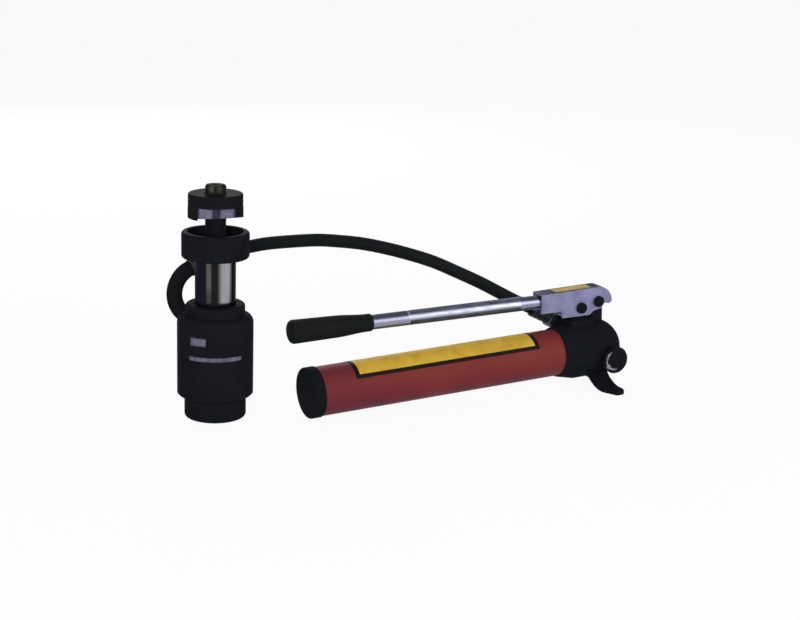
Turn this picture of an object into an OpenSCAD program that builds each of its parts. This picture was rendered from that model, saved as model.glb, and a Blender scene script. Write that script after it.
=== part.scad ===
// Draw-type hydraulic hole punch: an upright ram head with cutter and die, a hand pump and one hose.
// The origin is the centre of the ram head's foot on the floor. X runs along the pump, Z is up.

/* [Ram head] */
// How far the round foot stands back under the barrel
foot_step = 8.5; // [6:0.5:12]
// Height of the foot
foot_h = 28; // [24:0.5:34]
// Outer diameter of the barrel
barrel_d = 90; // [86:0.5:100]
// Room left under the piston at the end of its stroke
stop_room = 16.7; // [12:0.1:24]
// Radius of the barrel's rounded shoulder
shoulder_r = 10; // [6:0.5:12]
// Height of the gland collar above the shoulder
collar_h = 12.8; // [10:0.2:18]
// Wall of the barrel round its bore
barrel_wall = 13.5; // [12:0.5:15]
// Diameter of the ram's rod
rod_d = 35; // [32:0.5:36]
// Working stroke of the ram
stroke = 25; // [15:1:25]
// Thickness of the piston
piston_h = 20; // [18:0.5:24]
// How much smaller the gland's spigot is than the bore, in radius
spigot_step = 3.5; // [3:0.25:5]
// Length of the gland's spigot
spigot_h = 21.5; // [18:0.5:23]

/* [Cutter and die] */
// Outer diameter of the bright support sleeve
sleeve_d = 48; // [46:0.5:52]
// Inner diameter of the support sleeve
sleeve_bore = 38; // [37:0.5:40]
// Height of the sleeve between collar and die
sleeve_h = 55.5; // [48:0.5:64]
// Outer diameter of the die
die_d = 79.5; // [76:0.5:90]
// Height of the die
die_h = 30.7; // [29:0.1:36]
// Gap between the die and the cutter's lowest tooth
die_gap = 16.8; // [10:0.2:20]
// Diameter of the cutter
cutter_d = 64; // [60:0.5:66]
// Height of the cutter with its teeth
cutter_h = 28.4; // [26:0.1:34]
// Width of the two milled windows
window_w = 44; // [36:0.5:46]
// Height of the windows above the lowest tooth
window_h = 14.5; // [10:0.5:17]
// Thickness of the bar between the windows
bar_t = 30; // [29:0.5:34]
// Slope of the two cutting faces, in degrees
tooth_slope = 18; // [8:0.5:22]
// Turn of the cutting faces against the bar, in degrees
tooth_turn = 21; // [10:0.5:30]
// Half width of the level strip between the cutting faces
tooth_level = 14.2; // [12:0.2:20]
// How far the cutter is turned on its stud
cutter_turn = -17; // [-90:1:90]
// Diameter of the draw stud
stud_d = 25; // [22:0.5:26]
// Length of the stud above the cutter
stud_tip = 9.6; // [6:0.2:14]

/* [Hose] */
// Outer diameter of the hose
hose_d = 16; // [14:0.5:17]
// Outer diameter of the swept elbow at the ram head
elbow_d = 19; // [17:0.5:20]
// Distance of the elbow's upright leg from the barrel's wall
elbow_stand = 20; // [16:0.5:26]
// Radius of the elbow's lower bend
elbow_low_r = 23; // [20:0.5:24]
// Radius of the elbow's upper bend
elbow_top_r = 31; // [28:0.5:36]
// Height of the port's axis above the barrel's straight part
port_up = -1; // [-4:0.5:1]
// Outer diameter of the crimped ferrules
ferrule_d = 21; // [20:0.5:24]
// Length of a ferrule
ferrule_l = 26; // [22:0.5:32]

/* [Reservoir] */
// Least distance of the reservoir's rear end from the ram's barrel
pump_away = 50; // [40:1:80]
// Least distance of the grip's rear end from the ram's barrel
grip_away = 28; // [20:1:60]
// Sideways place of the pump's axis
pump_y = -52; // [-70:1:-50]
// Outer diameter of the reservoir tube
tube_d = 60; // [56:0.5:62]
// Wall of the reservoir tube
tube_wall = 3; // [2:0.25:4]
// Length from the end cap's face to the pump head
tube_l = 347; // [300:1:380]
// Outer diameter of the end cap
cap_d = 62; // [61:0.5:68]
// Length of the end cap
cap_l = 14; // [12:0.5:24]

/* [Pump head] */
// Diameter of the casting
head_d = 74; // [70:0.5:80]
// Length of the casting
head_l = 94; // [90:1:104]
// Height of the casting above the floor, over its feet
foot_stand = 11.6; // [10:0.2:14]
// Diameter of the plunger
plunger_d = 16; // [14:0.5:18]
// Turn of the outlet from the casting's top towards the far side, in degrees
outlet_turn = 42.8; // [38:0.2:46]
// Slope of the outlet's axis
outlet_slope = 28.7; // [25:0.1:32]
// Diameter of the release knob
knob_d = 35; // [28:0.5:38]
// Thickness of the release knob
knob_t = 8.4; // [8:0.2:14]
// Place of the release knob behind the casting's nose
knob_back = 29; // [27:0.5:34]
// Height of the release knob's axis above the casting's underside
knob_up = 29; // [26:0.2:33]
// Sideways reach of each foot
foot_reach = 67; // [58:0.5:80]
// Width of the feet along the pump
foot_w = 24; // [20:0.5:30]

/* [Lever] */
// Height of the fulcrum above the casting
pivot_up = 25.6; // [24:0.2:28]
// Distance of the fulcrum behind the casting's nose
pivot_back = 35; // [33:0.5:38]
// Distance between fulcrum and plunger pin
pin_arm = 26.4; // [25:0.2:27.4]
// How far the plunger pin hangs below the fulcrum's level, in degrees
pin_drop = 11.6; // [9:0.2:14]
// Swing of the handle
lever_lift = 40; // [30:1:40]
// Diameter of both pins
pin_d = 10; // [8:0.5:10]
// Outer width of the sheet channel
channel_w = 22; // [21.6:0.1:26]
// Thickness of the sheet
sheet = 2.4; // [2:0.1:2.6]
// Length of the channel behind the fulcrum
channel_back = 84.5; // [78:0.5:92]
// Diameter of the handle rod in the channel
rod_handle_d = 17; // [15:0.25:17]
// Diameter of the handle tube
handle_d = 18.2; // [18:0.1:22]
// Distance from the fulcrum to the handle's rear end
handle_l = 425; // [390:1:460]
// Rise of the handle towards its rear end, in degrees
handle_rise = 1.4; // [0.5:0.1:2]
// Length of the grip
grip_l = 106; // [90:1:120]
// Largest diameter of the grip
grip_d = 28.8; // [26:0.2:32]

/* [Fits] */
// Radial clearance of pieces that are screwed or pressed together
fit = 0.05; // [0.04:0.01:0.08]
// Radial clearance of pieces that run in each other
run = 0.05; // [0.03:0.01:0.08]
// Gap between faces that move past each other
gap = 0.3; // [0.3:0.05:0.5]

/* [Hidden] */
$fn = 96;

black = [0.11, 0.11, 0.12];
steel = [0.62, 0.63, 0.68];
chrome = [0.75, 0.75, 0.78];
rubber = [0.16, 0.16, 0.17];
red = [0.5, 0.2, 0.2];
brass = [0.7, 0.58, 0.3];

edge = 1; // small turned chamfer
over = 1; // how far a cut runs past a face

// Heights along the ram head
cap_spigot = 14;
barrel_h = cap_spigot + stop_room + stroke + piston_h + gap + spigot_h - shoulder_r;
z_shoulder = foot_h + barrel_h;
z_collar = z_shoulder + shoulder_r;
z_sleeve = z_collar + collar_h;
z_die = z_sleeve + sleeve_h;
z_die_top = z_die + die_h;
z_tooth = z_die_top + die_gap;
z_cutter = z_tooth + cutter_h;
z_stud = z_cutter + stud_tip;

// Ram head fits
barrel_r = barrel_d / 2;
bore_r = barrel_r - barrel_wall;
foot_r = barrel_r - foot_step;
collar_r = barrel_r - shoulder_r;
rod_r = rod_d / 2;
stud_r = stud_d / 2;
spigot_r = bore_r - spigot_step;
cutter_r = cutter_d / 2;
foot_round = 4;
cap_floor = 8;
spring_wire_r = 2.6;
spring_room = 11.5;
spring_r = bore_r - spring_room;
spring_turns = 6;
spring_pocket_r = spring_r + spring_wire_r + edge;
z_spigot = z_collar - spigot_h;
z_piston = z_spigot - gap;
z_piston_low = z_piston - piston_h;
rod_in_sleeve = 32;
z_rod = z_sleeve + rod_in_sleeve;
stud_in_rod = 26;
piston_seal_w = 6;
wear_ring_w = 5;
seal_depth = 3.5;
wear_depth = 2;
rod_seal_w = 5;
wiper_w = 4;
seal_share = 0.38;
rod_seal_depth = seal_share * (spigot_r - rod_r);
oring = 2.4;
sleeve_seat = 2;
die_seat = 6;
die_floor = 5;
die_land = 9;
die_clear = 0.35;
die_relief = 1;
die_round = 3;
cutter_round = 2;
cutter_band = 12;
cutter_band_t = 0.3;
bar_up = 0.4;
groove_w = 7;
groove_t = 1.4;

// Port and swept elbow
port_turn = 118;
port_z = z_shoulder + port_up;
elbow_out = barrel_r + elbow_stand;
port_face = elbow_out - elbow_low_r;
port_stub_r = 7;
port_stub_l = 8;
port_hole_r = 3;
drill_r = 1.4;
drill_wall = 0.5;
drill_at = spigot_r + drill_r + drill_wall;
elbow_r = elbow_d / 2;
spot_play = 1.5;
spot_r = elbow_r + spot_play;
elbow_head = 10;
elbow_rise = 18;
elbow_sweep = 90 - elbow_rise;
ferrule_r = ferrule_d / 2;
ferrule_rings = 3;
crimp = 0.6;
elbow_end = [elbow_out * cos(port_turn) + elbow_top_r * (1 - cos(elbow_sweep)) * cos(elbow_head),
  elbow_out * sin(port_turn) + elbow_top_r * (1 - cos(elbow_sweep)) * sin(elbow_head),
  port_z + elbow_low_r + fit + elbow_top_r * sin(elbow_sweep)];
head_way = [cos(elbow_rise) * cos(elbow_head), cos(elbow_rise) * sin(elbow_head), sin(elbow_rise)];
hose_start = elbow_end + ferrule_l * head_way;

// Pump, in its own frame: X from the end cap's face to the front, Y to the far side
cap_r = cap_d / 2;
tube_r = tube_d / 2;
tube_in = tube_r - tube_wall;
cap_face = 3;
cap_round = 2.5;
socket = 8;
head_r = head_d / 2;
flare_wall = 2;
flare_r = tube_r + flare_wall;
flare_l = 22;
head_end = tube_l + head_l;
spigot_len = 9;
tie_r = 4;
tie_in = 8;
filler_r = 7;
filler_wall = 5;
filler_up = tube_in - filler_r - filler_wall;

// Lever linkage
pivot_x = head_end - pivot_back;
pivot_z = head_r + pivot_up;
pin_r = pin_d / 2;
pin_x = pivot_x - pin_arm * cos(pin_drop);
pin_z = pivot_z - pin_arm * sin(pin_drop);
pin_swing = pin_arm * (1 - cos(lever_lift - pin_drop)) / 2;
plunger_x = pivot_x - pin_arm + pin_swing;
slot_play = 0.45;
eye_wall = 5;
eye_r = pin_r + slot_play + eye_wall;
inner_w = channel_w - 2 * sheet;
side_play = 0.6;
eye_w = inner_w - 2 * side_play;
lug_w = inner_w - 2 * side_play;
lug_wall = 3.2;
lug_r = pin_r + lug_wall;
pin_head_r = 7;
pin_head_t = 3;
clip_r = 8;
clip_t = 1.6;
neck_step = 1.2;
neck_r = pin_r - neck_step;
pin_tail = 2;
rod_root = 42;
handle_up = 6.7;
handle_root = [pivot_x - rod_root, 0, pivot_z + handle_up];
rod_shown = 22;
rod_tail_step = 1.5;
rod_tail_r = rod_handle_d / 2 - rod_tail_step;
rod_in_tube = 45;
channel_low = 6;
channel_nose = 21;
nose_at = [0, -2];
nose_turn = 82;
channel_top = handle_up + (channel_back - rod_root) * tan(handle_rise) + rod_handle_d / 2 + sheet + 2 * fit;
// Lower edge of the channel, from the step behind the plunger to the hook at the nose
channel_edge = [[-55, -6.5], [-53.5, -15.5], [-13, -16.5], [-7, -12], [5, -9.4], [9.5, -3.4], [17, -4.8]];
handle_tube_from = channel_back - rod_root + rod_shown;
handle_end = handle_l - rod_root;
grip_front_d = 21.5;
grip_wall_end = 8;
grip_neck = 5;
grip_swell = 44;
grip_steps = 8;
grip_round = 5;

// Plunger pump and valves in the casting
plunger_r = plunger_d / 2;
chamber_z = -10;
plunger_stop = 2;
plunger_low = chamber_z + plunger_stop;
gland_wall = 4;
gland_r = plunger_r + gland_wall;
gland_in = 18;
gland_out = 3;
gland_hex = 26;
block_l = 34;
block_w = 29;
block_up = 5;
gland_z = head_r + block_up;
plunger_seal_w = 4;
plunger_seal_t = 2.4;
valve_z = -7;
valve_r = 6;
valve_wall = 8;
valve_x = plunger_x + plunger_r + valve_wall;
valve_hole_r = 2.5;
ball_r = 4.5;
valve_spring_l = 12;
valve_spring_wire = 0.7;
valve_spring_turns = 5;
valve_plug_l = 14;
suction_r = 4.5;
suction_drop = 8;
suction_z = chamber_z - suction_drop;
suction_ball_r = 3.6;
pipe_stop = 2;
pipe_end = plunger_x - suction_r - pipe_stop;
relief_z = 12;
relief_r = 5;
relief_l = 18;
relief_in = 5;
relief_x = head_end - relief_l - relief_in;
strainer_r = 8;
strainer_l = 22;
strainer_pipe = 62;
hex_socket = 6;

// Release valve
knob_x = head_end - knob_back;
knob_z = knob_up - head_r;
spindle_r = 5;
spindle_tip = 14;
release_sink = 3;
release_face = head_r - release_sink;
release_boss = 2;
release_r = 14;
release_t = 5;
knob_y = release_face + release_t + gap;
knob_round = 3;
knob_flutes = 12;
flute_r = 2;
spindle_seal_t = 2.4;
spindle_seal_r = spindle_r + spindle_seal_t;
spindle_seal_w = 3;

// Outlet towards the hose
outlet_back = 67;
outlet_out = 4.2;
outlet_face = [head_end - outlet_back, (head_r + outlet_out) * sin(outlet_turn),
  (head_r + outlet_out) * cos(outlet_turn)];
outlet_r = 13;
outlet_hex_t = 8;
nut_l = 15;
nut_af = 22;
outlet_stub_r = 6.5;
outlet_stub_l = 9;
pump_ferrule_at = outlet_hex_t + nut_l;
outlet_way = [-cos(outlet_slope), 0, sin(outlet_slope)];
hose_end_local = outlet_face + (pump_ferrule_at + ferrule_l) * outlet_way;

// Feet under the pump head
foot_back = 15;
foot_x = pivot_x - foot_back;
foot_seat = 0.1;
foot_tip_r = 3.4;
foot_edge_r = 3.2;
foot_sink = 0.3;
foot_low = head_r + foot_stand + foot_sink;
foot_tip = [foot_reach - foot_tip_r, foot_tip_r - foot_low];
foot_curve_r = 38;
foot_curve_in = 15;
foot_curve = [foot_reach - foot_curve_in, 2 * foot_tip_r - foot_low + foot_curve_r];
foot_curve_turn = 205;
foot_belly_r = 61.7;
foot_belly_in = 17;
foot_belly = [foot_reach - foot_belly_in, foot_belly_r - foot_low];
foot_belly_turn = 270 - acos((head_r + foot_belly.y) / foot_belly_r);
foot_web = 5;
foot_seat_r = head_r - foot_web;
toe_y = 42;
toe_back = 12;
toe_r = 8;
toe_turn = 150;
// Tilt at which the end cap and the feet both stand on the floor
pump_tilt = atan((foot_stand + head_r - cap_r) / (foot_x + foot_w / 2));
pump_z = cap_r * cos(pump_tilt);
pump_x = barrel_r + max(pump_away, grip_away + handle_l - pivot_x);
screw_x = foot_x + foot_w / 2;
screw_y = 13;
screw_r = 3;
screw_l = 20;
screw_head_r = 5;
screw_head_t = 3;

// Turns a point of the pump's own frame into the shared frame
function pump_point(p) = [pump_x + p.x * cos(pump_tilt) - p.z * sin(pump_tilt), pump_y + p.y,
  pump_z + p.x * sin(pump_tilt) + p.z * cos(pump_tilt)];
hose_end = pump_point(hose_end_local);

// The hose's route from the ram head to the pump: share of the way, then how far it bows sideways and up
bow = [[0.075, 7, 13.5], [0.141, 13.5, 22.5], [0.192, 17, 29], [0.263, 17, 36], [0.334, 16, 42.5],
  [0.388, 14.5, 45.5], [0.464, 10.5, 48], [0.535, 6.5, 47.5], [0.606, 3.5, 45], [0.679, 1.5, 40.5],
  [0.752, 0, 32.5], [0.826, -2.5, 23.5], [0.884, -3.5, 15], [0.943, -3, 6.5]];
route = concat([hose_start],
  [for (b = bow) hose_start + b[0] * (hose_end - hose_start) + [0, b[1], b[2]]], [hose_end]);
hose_sides = 12;
hose_steps = 3;
coil_steps = 8;
wire_sides = 6;

// Points on a circle's arc from angle a to angle b
function arc(x, y, r, a, b, n = 8) = [for (i = [0:n])
  let (t = a + (b - a) * i / n) [x + r * cos(t), y + r * sin(t)]];
function unit(v) = v / norm(v);
// Smooth curve through the route's points
function spline(a, b, c, d, t) = 0.5 * (2 * b + (c - a) * t + (2 * a - 5 * b + 4 * c - d) * t * t
  + (3 * b - a - 3 * c + d) * t * t * t);
function smooth(p, n) = let (m = len(p)) concat([for (i = [0:m - 2]) for (k = [0:n - 1])
  spline(p[max(i - 1, 0)], p[i], p[i + 1], p[min(i + 2, m - 1)], k / n)], [p[m - 1]]);
// Direction of a path at its point i
function heading(p, i) = unit(p[min(i + 1, len(p) - 1)] - p[max(i - 1, 0)]);
// One ring of points round a path, level with the floor as far as it can be
function path_ring(c, d, r, n) = let (s = unit(cross([0, 0, 1], d)), u = cross(d, s))
  [for (k = [0:n - 1]) c + r * (cos(360 * k / n) * s + sin(360 * k / n) * u)];
// Triangles of a closed tube with m rings of n points
function tube_faces(m, n) = concat(
  [for (i = [0:m - 2]) for (k = [0:n - 1]) [i * n + k, (i + 1) * n + k, i * n + (k + 1) % n]],
  [for (i = [0:m - 2]) for (k = [0:n - 1])
    [i * n + (k + 1) % n, (i + 1) * n + k, (i + 1) * n + (k + 1) % n]],
  [for (k = [1:n - 2]) [0, k, k + 1]],
  [for (k = [1:n - 2]) [(m - 1) * n, (m - 1) * n + k + 1, (m - 1) * n + k]]);
// One ring of a coil's wire at angle t
function coil_ring(r, w, z, t, n) = [for (k = [0:n - 1]) let (a = 360 * k / n)
  [(r + w * cos(a)) * cos(t), (r + w * cos(a)) * sin(t), z + w * sin(a)]];

// Disc from z = 0 up, with both rims rounded
module rounded_disc(r, h, e) {
  rotate_extrude() polygon(concat([[0, 0]], arc(r - e, e, e, -90, 0), arc(r - e, h - e, e, 0, 90), [[0, h]]));
}
// Ring of rectangular section
module ring(r_in, r_out, h) {
  rotate_extrude() translate([r_in, 0]) square([r_out - r_in, h]);
}
// Coil spring between two heights, one unbroken wire
module coil(r, w, z_low, z_high, turns) {
  steps = coil_steps * turns;
  rings = [for (i = [0:steps])
    coil_ring(r, w, z_low + w + (z_high - z_low - 2 * w) * i / steps, 360 * i / coil_steps, wire_sides)];
  polyhedron([for (g = rings) each g], [for (f = tube_faces(steps + 1, wire_sides)) [f[0], f[2], f[1]]]);
}
// Hexagonal bar along Z, by its width across flats
module hex_bar(af, h) {
  cylinder(r = af / 2 / cos(30), h = h, $fn = 6);
}
// Places its children in the pump's own frame
module pump_frame() {
  translate([pump_x, pump_y, pump_z]) rotate([0, -pump_tilt, 0]) children();
}
// Turns Z towards the pump's front
module along_x() {
  rotate([0, 90, 0]) children();
}
// Turns Z towards the near side
module along_near() {
  rotate([90, 0, 0]) children();
}
// Places its children on the handle's axis, with Z towards the rear end
module along_handle() {
  translate(handle_root) rotate([0, -90 + handle_rise, 0]) children();
}
// Places its children on the outlet's axis, with Z towards the hose
module along_outlet() {
  translate(outlet_face) rotate([0, -90 + outlet_slope, 0]) children();
}
// Places its children at the end of the swept elbow, with Z along the hose
module along_hose_start() {
  translate(elbow_end) rotate([0, 90 - elbow_rise, elbow_head]) children();
}

module head_base_cap() {
  color(black) difference() {
    union() {
      rounded_disc(foot_r, foot_h, foot_round);
      translate([0, 0, foot_h - over]) cylinder(r = bore_r - fit, h = cap_spigot + over);
    }
    translate([0, 0, cap_floor]) cylinder(r = spring_pocket_r, h = foot_h + cap_spigot);
    translate([0, 0, foot_h + cap_spigot / 2]) ring(bore_r - oring, bore_r + over, oring);
  }
}
module base_oring() {
  color(rubber) translate([0, 0, foot_h + cap_spigot / 2 + fit])
    ring(bore_r - oring + fit, bore_r - fit, oring - 2 * fit);
}
module head_barrel() {
  color(black) difference() {
    rotate_extrude() polygon(concat(
      [[bore_r, foot_h], [barrel_r - 2 * edge, foot_h], [barrel_r, foot_h + 2 * edge]],
      arc(barrel_r - shoulder_r, z_shoulder, shoulder_r, 0, 90),
      [[spigot_r + fit, z_collar], [spigot_r + fit, z_spigot], [bore_r, z_spigot]]));
    rotate([0, 0, port_turn]) {
      translate([port_face, 0, port_z]) along_x() cylinder(r = spot_r, h = barrel_d);
      translate([port_face - port_stub_l - fit, 0, port_z]) along_x()
        cylinder(r = port_stub_r + fit, h = barrel_d);
      translate([drill_at, 0, port_z]) along_x() cylinder(r = port_hole_r, h = barrel_d);
      translate([drill_at, 0, z_spigot - over]) cylinder(r = drill_r, h = port_z - z_spigot + over);
    }
  }
}
module gland_collar() {
  color(black) difference() {
    union() {
      translate([0, 0, z_collar]) rotate_extrude() polygon(concat([[0, 0], [collar_r, 0]],
        arc(collar_r - die_round, collar_h - die_round, die_round, 0, 90), [[0, collar_h]]));
      translate([0, 0, z_spigot]) cylinder(r = spigot_r, h = spigot_h + over);
    }
    translate([0, 0, z_spigot - over]) cylinder(r = rod_r + run, h = spigot_h + collar_h + 2 * over);
    translate([0, 0, z_sleeve - sleeve_seat]) cylinder(r = sleeve_d / 2 + fit, h = sleeve_seat + over);
    translate([0, 0, z_spigot + rod_seal_w]) ring(rod_r - over, rod_r + rod_seal_depth, rod_seal_w);
    translate([0, 0, z_collar]) ring(rod_r - over, rod_r + rod_seal_depth, wiper_w);
    translate([0, 0, z_collar - rod_seal_w - oring]) ring(spigot_r - oring, spigot_r + over, oring);
  }
}
module rod_seal() {
  color(rubber) translate([0, 0, z_spigot + rod_seal_w + fit])
    ring(rod_r + run, rod_r + rod_seal_depth - fit, rod_seal_w - 2 * fit);
}
module rod_wiper() {
  color(rubber) translate([0, 0, z_collar + fit])
    ring(rod_r + run, rod_r + rod_seal_depth - fit, wiper_w - 2 * fit);
}
module gland_oring() {
  color(rubber) translate([0, 0, z_collar - rod_seal_w - oring + fit])
    ring(spigot_r - oring + fit, spigot_r, oring - 2 * fit);
}
module support_sleeve() {
  h = sleeve_seat + sleeve_h + die_seat - fit;
  r_in = sleeve_bore / 2;
  r_out = sleeve_d / 2;
  color(chrome) translate([0, 0, z_sleeve - sleeve_seat]) rotate_extrude()
    polygon([[r_in, 0], [r_out - edge, 0], [r_out, edge], [r_out, h - edge], [r_out - edge, h], [r_in, h]]);
}
module die() {
  r = die_d / 2;
  cup_r = cutter_r + cutter_band_t + die_clear;
  color(black) translate([0, 0, z_die]) rotate_extrude() polygon(concat(
    [[sleeve_d / 2 + fit, 0]], arc(r - die_round, die_round, die_round, -90, 0),
    arc(r - die_round, die_h - die_round, die_round, 0, 90),
    [[cup_r, die_h], [cup_r, die_h - die_land], [cup_r + die_relief, die_h - die_land - die_relief],
     [cup_r + die_relief, die_seat + die_floor], [stud_r + edge, die_seat + die_floor],
     [stud_r + edge, die_seat], [sleeve_d / 2 + fit, die_seat]]));
}
module cutter() {
  r = cutter_r;
  color(black) translate([0, 0, z_tooth]) rotate([0, 0, cutter_turn]) difference() {
    rotate_extrude() polygon(concat(
      [[stud_r + run, 0], [r + cutter_band_t, 0], [r + cutter_band_t, cutter_band], [r, cutter_band + edge]],
      arc(r - cutter_round, cutter_h - cutter_round, cutter_round, 0, 90), [[stud_r + run, cutter_h]]));
    for (side = [0, 180]) rotate([0, 0, side]) {
      // milled window in front of the bar
      translate([-window_w / 2, -2 * r, -over]) cube([window_w, 2 * r - bar_t / 2, window_h + over]);
      // groove down the middle of the bar's face
      translate([-groove_w / 2, -bar_t / 2 - over, -over]) cube([groove_w, groove_t + over, window_h + over]);
      // sloped cutting face of one side
      rotate([0, 0, tooth_turn]) translate([0, -tooth_level, 0]) rotate([-tooth_slope, 0, 0])
        translate([-2 * r, -2 * r, -2 * r]) cube([4 * r, 2 * r, 2 * r]);
    }
    // the bar ends above the teeth
    translate([-window_w / 2, -r, -over]) cube([window_w, 2 * r, bar_up + over]);
  }
}
module draw_stud() {
  low = z_rod - stud_in_rod;
  color(black) difference() {
    rotate_extrude() polygon([[0, low], [stud_r - edge, low], [stud_r, low + edge],
      [stud_r, z_stud - 1.5 * edge], [stud_r - 1.5 * edge, z_stud], [0, z_stud]]);
    // centre drilling of the stud's end
    translate([0, 0, z_stud - 2 * edge]) cylinder(r1 = edge, r2 = 3 * edge, h = 2.05 * edge);
  }
}
module ram_piston() {
  seal_z = z_piston - wear_ring_w - piston_seal_w;
  wear_z = z_piston_low + wear_ring_w / 2;
  color(steel) difference() {
    union() {
      translate([0, 0, z_piston_low]) cylinder(r = bore_r - run, h = piston_h);
      translate([0, 0, z_piston - over]) cylinder(r = rod_r, h = z_rod - z_piston + over);
    }
    translate([0, 0, seal_z]) ring(bore_r - seal_depth, bore_r + over, piston_seal_w);
    translate([0, 0, wear_z]) ring(bore_r - wear_depth, bore_r + over, wear_ring_w);
    translate([0, 0, z_rod - stud_in_rod - fit]) cylinder(r = stud_r + fit, h = stud_in_rod + over);
  }
}
module piston_seal() {
  color(rubber) translate([0, 0, z_piston - wear_ring_w - piston_seal_w + fit])
    ring(bore_r - seal_depth + fit, bore_r - run, piston_seal_w - 2 * fit);
}
module piston_wear_ring() {
  color(brass) translate([0, 0, z_piston_low + wear_ring_w / 2 + fit])
    ring(bore_r - wear_depth + fit, bore_r - run, wear_ring_w - 2 * fit);
}
module return_spring() {
  low = cap_floor + gap;
  high = z_piston_low - gap;
  color(steel) coil(spring_r, spring_wire_r, low, high, spring_turns);
}

module head_elbow() {
  color(black) rotate([0, 0, port_turn]) {
    translate([port_face - port_stub_l, 0, port_z]) along_x()
      cylinder(r = port_stub_r, h = port_stub_l + over);
    // lower bend, from the port's axis to upright
    translate([port_face, 0, port_z + elbow_low_r]) rotate([90, 0, 0]) rotate([0, 0, -90])
      rotate_extrude(angle = 90) translate([elbow_low_r, 0]) circle(r = elbow_r);
  }
}
// Upper bend, from upright towards the pump
module head_stem() {
  color(black) translate([elbow_out * cos(port_turn), elbow_out * sin(port_turn), port_z + elbow_low_r + fit])
    rotate([0, 0, elbow_head]) translate([elbow_top_r, 0, 0]) rotate([90, 0, 0])
      rotate([0, 0, 180 - elbow_sweep]) rotate_extrude(angle = elbow_sweep)
        translate([elbow_top_r, 0]) circle(r = elbow_r);
}
// Crimped ferrule along Z, with pressed grooves
module ferrule() {
  groove = ferrule_l / (2 * ferrule_rings + 1);
  rotate_extrude() polygon(concat([[0, 0], [ferrule_r - edge, 0], [ferrule_r, edge]],
    [for (i = [0:ferrule_rings - 1]) each let (z = groove * (2 * i + 1))
      [[ferrule_r, z], [ferrule_r - crimp, z + crimp], [ferrule_r - crimp, z + groove - crimp],
       [ferrule_r, z + groove]]],
    [[ferrule_r, ferrule_l - edge], [ferrule_r - edge, ferrule_l], [0, ferrule_l]]));
}
module head_ferrule() {
  color(steel) along_hose_start() ferrule();
}
module hose() {
  path = smooth(route, hose_steps);
  m = len(path);
  ends = [head_way, unit(hose_end - pump_point(hose_end_local + outlet_way))];
  points = [for (i = [0:m - 1]) each path_ring(path[i],
    i == 0 ? ends[0] : i == m - 1 ? ends[1] : heading(path, i), hose_d / 2, hose_sides)];
  color(rubber) polyhedron(points, tube_faces(m, hose_sides));
}
module pump_ferrule() {
  color(steel) pump_frame() along_outlet() translate([0, 0, pump_ferrule_at]) ferrule();
}
module pump_swivel_nut() {
  color(steel) pump_frame() along_outlet() translate([0, 0, outlet_hex_t]) hex_bar(nut_af, nut_l);
}
module pump_outlet() {
  color(steel) pump_frame() along_outlet() {
    rotate([0, 0, 30]) hex_bar(nut_af, outlet_hex_t);
    translate([0, 0, -outlet_stub_l]) cylinder(r = outlet_stub_r, h = outlet_stub_l + over);
  }
}

module reservoir_tube() {
  color(red) pump_frame() translate([cap_face, 0, 0]) along_x() difference() {
    cylinder(r = tube_r, h = tube_l + socket - cap_face);
    translate([0, 0, -over]) cylinder(r = tube_in, h = tube_l + socket - cap_face + 2 * over);
  }
}
module reservoir_cap() {
  color(black) pump_frame() along_x() difference() {
    union() {
      difference() {
        rotate_extrude() polygon(concat([[0, 0]], arc(cap_r - cap_round, cap_round, cap_round, -90, 0),
          [[cap_r, cap_l - edge], [cap_r - edge / 2, cap_l], [0, cap_l]]));
        translate([0, 0, cap_face]) cylinder(r = tube_r + fit, h = cap_l);
      }
      translate([0, 0, cap_face - over]) cylinder(r = tube_in - fit, h = spigot_len + over);
    }
    translate([0, 0, cap_face + spigot_len - tie_in]) cylinder(r = tie_r + fit, h = tie_in + over);
    translate([-filler_up, 0, -over]) cylinder(r = filler_r + fit, h = cap_l + spigot_len);
    translate([0, 0, cap_face + spigot_len / 2]) ring(tube_in - oring, tube_in + over, oring);
  }
}
module filler_plug() {
  color(black) pump_frame() along_x() translate([-filler_up, 0, 0]) difference() {
    cylinder(r = filler_r, h = cap_face + spigot_len);
    translate([0, 0, -over]) hex_bar(hex_socket, hex_socket + over);
  }
}
module tie_rod() {
  from = cap_face + spigot_len - tie_in;
  color(steel) pump_frame() translate([from + fit, 0, 0]) along_x()
    cylinder(r = tie_r, h = tube_l + socket + tie_in - from - 2 * fit);
}
module tube_orings() {
  color(rubber) pump_frame() for (x = [cap_face + spigot_len / 2, tube_l + socket - spigot_len / 2 - oring])
    translate([x + fit, 0, 0]) along_x() ring(tube_in - oring + fit, tube_in - fit, oring - 2 * fit);
}
module suction_strainer() {
  color(brass) pump_frame() translate([pipe_end - fit, 0, suction_z]) rotate([0, -90, 0]) {
    cylinder(r = suction_r - fit, h = strainer_pipe);
    translate([0, 0, strainer_pipe - over]) cylinder(r = strainer_r, h = strainer_l);
  }
}

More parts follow.
